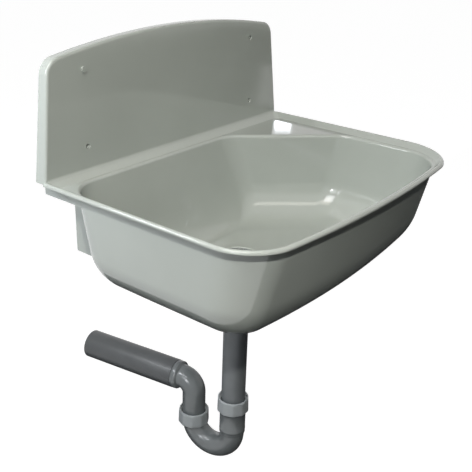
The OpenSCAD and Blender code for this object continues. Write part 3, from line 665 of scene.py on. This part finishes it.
def makeTailpiece():
    top, tip = bodyZ - 2, footZ - waste["tailEnd"]
    inner, outer = waste["tail"] / 2 - waste["tailWall"], waste["tail"] / 2
    tube = lathe("tailTube", rounded([
        (inner, top, 0.4), (waste["collar"] / 2, top, 0.5), (waste["collar"] / 2, collarZ, 0.6),
        (outer, collarZ, 0.8), (outer, tip + 1.2, 0.3), (outer - 0.7, tip, 0.2), (inner, tip, 0.3)]), 128)
    place(tube, atDrain)
    return stands(tube, "basin", "pipe", tubePlastic, "tailpiece")


makeStrainer()
makeScrew()
makeTailpiece()
print("waste made")

trap = dict(legGap=79.5, bendTop=488, turn=6.5, bend=40.8, bendWall=2.2, inletNut=413, outletNut=470,
            nut=55, nutTop=53.5, nutHeight=25, sides=10, cornerRound=2.6, recess=45.5, recessDepth=3.5,
            shoulder=3, thread=46, threadGap=0.35, sleeve=43.8, threadLength=17, pitch=2.0, entry=12,
            sleeveGap=4, outlet=50, outletWall=1.8, outletLength=185, outletZ=412, outletTurn=9,
            elbow=24, leg=40, stop=12, stopWidth=49.4, bore=40.6, face=0.3, slide=0.3)
turnAngle, outletAngle = math.radians(trap["turn"]), math.radians(trap["outletTurn"])
legPlace = drainCentre + trap["legGap"] * Vector((-math.sin(turnAngle), math.cos(turnAngle)))
inletNutZ, outletNutZ = footZ - trap["inletNut"], footZ - trap["outletNut"]
bendZ = footZ - trap["bendTop"]
mouthDrop = trap["recessDepth"] + trap["shoulder"] + 2 * trap["face"] + 4   # nut top to the socket's mouth


def at(spot, z, degrees=0.0):
    return Matrix.Translation(Vector((spot.x, spot.y, z))) @ Matrix.Rotation(math.radians(degrees), 4, "Z")


def sideRadius(angle, cornerRadius, sides, soft):
    # distance to a polygon's side, with each corner rounded off
    step = 2 * math.pi / sides
    off = abs((angle + step / 2) % step - step / 2)   # 0 at a corner
    flat = cornerRadius * math.cos(step / 2) / math.cos(step / 2 - off)
    blend = max(0.0, 1 - off * cornerRadius / soft / 1.6)
    return flat - (cornerRadius - cornerRadius * math.cos(step / 2)) * 0.42 * blend ** 2


def makeNut(name, body, spot, z, degrees, replaced):
    h, steps = trap["nutHeight"], 240
    rings = []

    def ring(radius, level, facets=1.0, roundRadius=0.0):
        out = []
        for i in range(steps):
            a = 2 * math.pi * i / steps
            polygon = sideRadius(a, radius, trap["sides"], trap["cornerRound"])
            r = mix(roundRadius or radius, polygon, facets)
            out.append(Vector((r * math.cos(a), r * math.sin(a), level)))
        return out

    low, top = trap["nut"] / 2, trap["nutTop"] / 2
    lipRadius = top * math.cos(math.pi / trap["sides"]) - 0.2
    inner = trap["recess"] / 2
    bore, skirt = inner - 2.15, trap["thread"] / 2 + trap["threadGap"]
    for r, level in ((low - 1.2, -h), (low - 0.45, -h + 0.25), (low - 0.1, -h + 0.8), (low, -h + 1.6)):
        rings.append(ring(r, level))
    for t in (0.3, 0.6, 0.85):
        rings.append(ring(mix(low, top, t), mix(-h, 0, t)))
    rings.append(ring(top, -2.4))
    # the facets run out under a round lip
    rings += [ring(top, -1.9, 0.9, lipRadius), ring(top, -1.45, 0.45, lipRadius + 0.15),
              ring(top, -1.15, 0.0, lipRadius + 0.12)]
    middle = (lipRadius + inner) / 2
    half = (lipRadius - inner) / 2
    for i in range(9):
        a = math.pi * i / 8
        rings.append(circle(middle + half * math.cos(a), -1.0 + math.sin(a), steps))
    deep, pitch = -trap["recessDepth"], trap["pitch"]
    inside = [(inner, deep + 0.6), (inner - 0.15, deep + 0.15), (inner - 0.6, deep), (bore + 0.3, deep),
              (bore, deep - 0.3), (bore, deep - 2.7), (bore + 0.3, deep - 3.0), (skirt, deep - 3.0)]
    level = deep - 4.0
    while level > -h + 2.2:   # inside thread, drawn as rings
        inside += [(skirt, level), (skirt + 0.5, level - pitch / 2)]
        level -= pitch
    inside += [(skirt, -h + 0.8), (skirt + 0.7, -h)]
    rings += [circle(r, z, steps) for r, z in inside]
    nut = loft(name, rings, closed=True, sharpAngle=40)
    place(nut, at(spot, z, degrees))
    # the nut takes the plastic whose paler tint is painted light
    return stands(nut, body, "nut", nutPlasticPaintedLight, replaced)


def threadRidges(radius, top, bottom, pitch, height):
    out, z = [], top
    while z - pitch > bottom:
        out += [(radius - height, z), (radius - height, z - 0.3 * pitch), (radius, z - 0.5 * pitch),
                (radius, z - 0.8 * pitch)]
        z -= pitch
    return out + [(radius - height, bottom)]


def makeInletSocket():
    top, foot = inletNutZ - mouthDrop, bendZ + trap["sleeveGap"]
    seat, bore = foot + trap["entry"], trap["bore"] / 2
    outer, threadR, ending = trap["sleeve"] / 2, trap["thread"] / 2, top - trap["threadLength"]
    profile = [(bore, top - 5.5), (bore + 2.2, top - 0.2), (bore + 2.2, top), (threadR - 1.0, top)]
    profile += threadRidges(threadR, top - 0.6, ending, trap["pitch"], 0.8)
    profile += rounded([(outer, ending - 0.8, 0.3), (outer, foot + 9.0, 0), (outer + 0.28, foot + 8.6, 0),
                        (outer + 0.28, foot + 7.4, 0), (outer, foot + 7.0, 0), (outer, foot + 1.4, 0.5),
                        (outer - 0.5, foot, 0.3), (trap["bend"] / 2 + 0.08, foot, 0.2)], closed=False)
    profile += [(trap["bend"] / 2 + 0.08, seat), (trap["bend"] / 2 - trap["bendWall"], seat),
                (trap["bend"] / 2 - trap["bendWall"], seat + 0.6), (bore, seat + 2)]
    socket = lathe("inletSocketSleeve", profile, 128, sharpAngle=45)
    place(socket, at(drainCentre, 0))
    return stands(socket, "trap", "pipe", fittingPlastic, "inlet_socket")


def sweep(name, path, radii, bores, steps=72, sharpAngle=40):
    # path: (centre, tangent); radii and bores: the outer and inner radius at each
    side = path[0][1].orthogonal().normalized()
    outer, inner = [], []
    for (centre, tangent), radius, bore in zip(path, radii, bores):
        side = (side - tangent * side.dot(tangent)).normalized()
        up = tangent.cross(side)
        for rings, r in ((outer, radius), (inner, bore)):
            rings.append([centre + side * r * math.cos(2 * math.pi * i / steps)
                          + up * r * math.sin(2 * math.pi * i / steps) for i in range(steps)])
    return loft(name, outer + inner[::-1], closed=True, sharpAngle=sharpAngle)


def makeBend():
    ahead = Vector((-math.sin(turnAngle), math.cos(turnAngle), 0))
    start = Vector((drainCentre.x, drainCentre.y, bendZ))
    radius, r = trap["legGap"] / 2, trap["bend"] / 2
    centre = start + ahead * radius
    path, radii = [], []
    for z, change in ((16, -0.6), (15.4, -0.1), (8, -0.1), (3, -0.1)):
        path.append((start + Vector((0, 0, z)), Vector((0, 0, -1))))
        radii.append(r + change)
    for i in range(49):
        a = math.pi * i / 48
        path.append((centre - ahead * radius * math.cos(a) - Vector((0, 0, radius * math.sin(a))),
                     ahead * math.sin(a) - Vector((0, 0, math.cos(a)))))
        radii.append(r - 0.1)
    bend = sweep("bendPipe", path, radii, [outer - trap["bendWall"] for outer in radii])
    low = outletNutZ - trap["nutHeight"] + 0.5
    mouth = outletNutZ - mouthDrop
    threadR, bore = trap["thread"] / 2, trap["bore"] / 2
    profile = [(bore, mouth - 5.5), (bore + 2.2, mouth - 0.2), (bore + 2.2, mouth), (threadR - 1.0, mouth)]
    profile += threadRidges(threadR, mouth - 0.6, low + 1.0, trap["pitch"], 0.8)
    profile += [(threadR - 0.3, low + 0.3), (threadR - 0.8, low), (r - 0.5, low), (bore - 2, low),
                (bore - 2, low + 1.5), (bore, low + 1.5)]
    socket = place(lathe("socket", profile, 128, sharpAngle=45), at(legPlace, 0))
    # parting line left where the two halves of the mould met
    rings = []
    width = Vector((ahead.y, -ahead.x, 0))
    for centreLine, tangent in path:
        outward = -ahead if centreLine.z > bendZ else (centreLine - centre).normalized()
        crest = centreLine + outward * (r - 0.01)
        rings.append([crest + width * 0.45 - outward * 0.3, crest + width * 0.16, crest - width * 0.16,
                      crest - width * 0.45 - outward * 0.3])
    line = loft("partingLine", rings, sharpAngle=60)
    whole = joined("returnBend", [bend, socket, line], 40)
    return stands(whole, "trap", "pipe", fittingPlastic, "u_bend")


def makeElbow():
    ahead = Vector((-math.sin(outletAngle), math.cos(outletAngle), 0))
    axisZ, tip = footZ - trap["outletZ"], outletNutZ - trap["nutHeight"] + 4
    base, radius = Vector((legPlace.x, legPlace.y, 0)), trap["elbow"]
    leg, stop, reach = trap["leg"] / 2, trap["stopWidth"] / 2, trap["stop"]
    path, radii = [], []
    for z, r in ((tip, leg - 0.6), (tip + 0.8, leg), (tip + 12, leg), (mix(tip, axisZ - radius, 0.6), leg)):
        path.append((base + Vector((0, 0, z)), Vector((0, 0, 1))))
        radii.append(r)
    centre = base + ahead * radius + Vector((0, 0, axisZ - radius))
    for i in range(31):
        a = math.pi / 2 * i / 30
        path.append((centre - ahead * radius * math.cos(a) + Vector((0, 0, radius * math.sin(a))),
                     ahead * math.sin(a) + Vector((0, 0, math.cos(a)))))
        radii.append(leg)
    along = base + Vector((0, 0, axisZ)) + ahead * radius
    spigot = trap["outlet"] / 2 - trap["outletWall"] - trap["slide"]
    # flare and stop collar, then the spigot with its seal groove
    reaches = [(0.3, leg + 0.2), (0.8, leg + 0.8), (1.4, leg + 1.9), (2.1, leg + 3.2), (3.0, stop - 0.6),
               (3.9, stop - 0.2), (5, stop), (8, stop), (reach - 0.4, stop), (reach, stop - 0.4),
               (reach, spigot), (22.8, spigot), (23.0, spigot - 1.5), (27, spigot - 1.5), (27.2, spigot),
               (33.4, spigot), (34, spigot - 0.5)]
    for d, r in reaches:
        path.append((along + ahead * d, ahead))
        radii.append(r)
    elbow = sweep("elbowPipe", path, radii, [leg - trap["bendWall"]] * len(path), sharpAngle=45)
    return stands(elbow, "outlet_elbow", "pipe", fittingPlastic, "outlet_elbow")


def makeOutletPipe():
    outer, inner, length = trap["outlet"] / 2, trap["outlet"] / 2 - trap["outletWall"], trap["outletLength"]
    tube = lathe("outletTube", rounded([(inner, 0, 0.2), (outer, 0, 0.35), (outer, length, 0.5),
                                        (inner, length, 0.4)]), 128)
    start = legPlace + Vector((-math.sin(outletAngle), math.cos(outletAngle))) \
        * (trap["elbow"] + trap["stop"] + trap["face"])
    turn = Matrix.Translation(Vector((start.x, start.y, footZ - trap["outletZ"]))) \
        @ Matrix.Rotation(outletAngle, 4, "Z") @ Matrix.Rotation(-math.pi / 2, 4, "X")
    place(tube, turn)
    # the outlet tube's darker tint is painted shade
    return stands(tube, "outlet_pipe", "pipe", outletPlasticPaintedShade, "outlet_pipe")


# the outlet tube lies down, so its drawn lines follow its own axis; its tint is the tube's, painted darker
# as painted shade of the tub above it
outletShadedLook = dict(tubeLook, grainTurn=(0, 0, -outletAngle), grainStretch=(1, 0.04, 1), low="#4e5153",
                  high="#585b5d")
outletPlasticPaintedShade = moulded("extrudedPolypropyleneOutletPaintedShade", outletShadedLook)
makeNut("inletSlipNut", "inlet_slip_nut", drainCentre, inletNutZ, 3, "inlet_slip_nut")
makeNut("outletSlipNut", "outlet_slip_nut", legPlace, outletNutZ, trap["turn"] + 99, "outlet_slip_nut")
makeInletSocket()
makeBend()
makeElbow()
makeOutletPipe()
print("trap made")

# CAD pieces whose shape stays get their finish
finishes = {"strainer_seal": rubber, "body_gasket": rubber, "tail_washer": rubber,
            "inlet_cone_seal": rubber, "outlet_cone_seal": rubber, "elbow_lip_seal": rubber,
            # the union nut takes the nut plastic, whose paler tint is painted light
            "waste_body": fittingPlastic, "waste_union_nut": nutPlasticPaintedLight, "screw_insert": brass}
for name, finish in finishes.items():
    nodes[name].data.materials.clear()
    nodes[name].data.materials.append(finish)

studio = dict(floorZ=-890, floorSize=30, glow=0.97, world=0.05, white=1.0)


def seenRays(tree):
    # 1 for camera, glossy and transmission rays, 0 for the rays that light the object
    rays = addNode(tree, "ShaderNodeLightPath")
    either = addNode(tree, "ShaderNodeMath", operation="MAXIMUM",
                     links={0: rays.outputs["Is Camera Ray"], 1: rays.outputs["Is Glossy Ray"]})
    return addNode(tree, "ShaderNodeMath", operation="MAXIMUM",
                   links={0: either.outputs[0], 1: rays.outputs["Is Transmission Ray"]})


def makeStage():
    mesh = bpy.data.meshes.new("floor")
    s, z = studio["floorSize"], studio["floorZ"] * mm
    mesh.from_pydata([(-s, -s, z), (s, -s, z), (s, s, z), (-s, s, z)], [], [(0, 1, 2, 3)])
    floor = bpy.data.objects.new("floor", mesh)
    bpy.context.scene.collection.objects.link(floor)
    material = bpy.data.materials.new("paleFloor")
    material.use_nodes = True
    tree = material.node_tree
    tree.nodes.clear()
    out = addNode(tree, "ShaderNodeOutputMaterial")
    seen = seenRays(tree)
    lit = addNode(tree, "ShaderNodeBsdfDiffuse", inputs={"Color": srgb("#9c9c9c")})
    glow = addNode(tree, "ShaderNodeEmission", inputs={"Color": (1, 1, 1, 1)})
    strength = addNode(tree, "ShaderNodeMath", {0: seen.outputs[0]}, {1: studio["glow"]},
                       operation="MULTIPLY")
    tree.links.new(strength.outputs[0], glow.inputs["Strength"])
    both = addNode(tree, "ShaderNodeAddShader", {0: lit.outputs[0], 1: glow.outputs[0]})
    tree.links.new(both.outputs[0], out.inputs[0])
    mesh.materials.append(material)

    world = bpy.data.worlds.new("studio")
    bpy.context.scene.world = world
    world.use_nodes = True
    tree = world.node_tree
    tree.nodes.clear()
    out = addNode(tree, "ShaderNodeOutputWorld")
    seen = seenRays(tree)
    dim, white = (addNode(tree, "ShaderNodeBackground", inputs={"Color": srgb(tint), "Strength": strength})
                  for tint, strength in (("#f2f6f8", studio["world"]), ("#ffffff", studio["white"])))
    both = addNode(tree, "ShaderNodeMixShader",
                   {0: seen.outputs[0], 1: dim.outputs[0], 2: white.outputs[0]})
    tree.links.new(both.outputs[0], out.inputs[0])


def addLamp(name, direction, distance, size, power, colour, aim=(0, -180, -200)):
    a, e = math.radians(direction[0]), math.radians(direction[1])
    toward = Vector((math.sin(a) * math.cos(e), -math.cos(a) * math.cos(e), math.sin(e)))
    data = bpy.data.lights.new(name, "AREA")
    data.shape = "RECTANGLE"
    data.size, data.size_y = size
    data.energy = power
    data.color = srgb(colour)[:3]
    lamp = bpy.data.objects.new(name, data)
    lamp.location = Vector(aim) * mm + toward * distance
    lamp.rotation_mode = "QUATERNION"
    lamp.rotation_quaternion = toward.to_track_quat("Z", "Y")
    bpy.context.scene.collection.objects.link(lamp)
    return lamp


def addFlag(name, corners, z):
    # a dark card just over the floor: only the glossy skin mirrors it, the camera doesn't see it
    mesh = bpy.data.meshes.new(name)
    mesh.from_pydata([(x * mm, y * mm, z * mm) for x, y in corners], [], [tuple(range(len(corners)))])
    card = bpy.data.objects.new(name, mesh)
    bpy.context.scene.collection.objects.link(card)
    card.visible_camera = False
    card.visible_shadow = False
    material = bpy.data.materials.new("blackCard")
    material.use_nodes = True
    material.node_tree.nodes["Principled BSDF"].inputs["Base Color"].default_value = srgb("#26282a")
    material.node_tree.nodes["Principled BSDF"].inputs["Roughness"].default_value = 1.0
    mesh.materials.append(material)


makeStage()
addLamp("windowLeft", (-84, 22), 2.4, (0.9, 0.7), 7.5, "#f6faff")
addLamp("windowFront", (-25, 60), 2.4, (0.9, 0.5), 4.5, "#fffaf0")
addLamp("windowRear", (-118, 25), 0.52, (0.22, 0.22), 2.6, "#f6faff", (-240, -30, -20))
# the small lamps shape shadows only: the skin mirrors the broad windows
edgeLamps = [addLamp("lampLeft", (-95, 46.5), 2.4, (0.05, 0.05), 5, "#f8faff", (-18, -150, -431)),
             addLamp("lampNear", (-50, 42), 1.5, (0.035, 0.035), 8.4, "#fffdf6", (0, -165, -431))]
for lamp in edgeLamps:
    lamp.visible_glossy = False
# bright panes that only the gloss mirrors: streaks on the bowl's fillets, the rim and the pipes
panes = [addLamp("paneHigh", (-82, 52), 2.2, (1.2, 1.0), 26, "#fbfbff"),
         addLamp("paneLow", (-74, 14), 2.4, (0.5, 0.5), 15, "#fbfbff")]
for lamp in panes:
    lamp.visible_diffuse = False
addLamp("windowHigh", (-74, 62), 2.2, (1.0, 1.1), 12, "#fff6ea")
# a small pane behind, mirrored by the soap ledge as a pale patch
addLamp("windowBehind", (124.2, 15.6), 1.5, (0.06, 0.055), 0.07, "#f2f7ff", (218, -66, -93))
# its notch lets the splash-back mirror a pale patch near the right end
cardFront = [(-300, 600), (-300, -2500), (1500, -5200), (6500, -5200), (6500, -4100), (4530, -3050),
             (4430, -3130), (3130, -2230), (3190, -2130), (3190, 600)]
addFlag("cardFront", cardFront, -880)
print("studio lit")
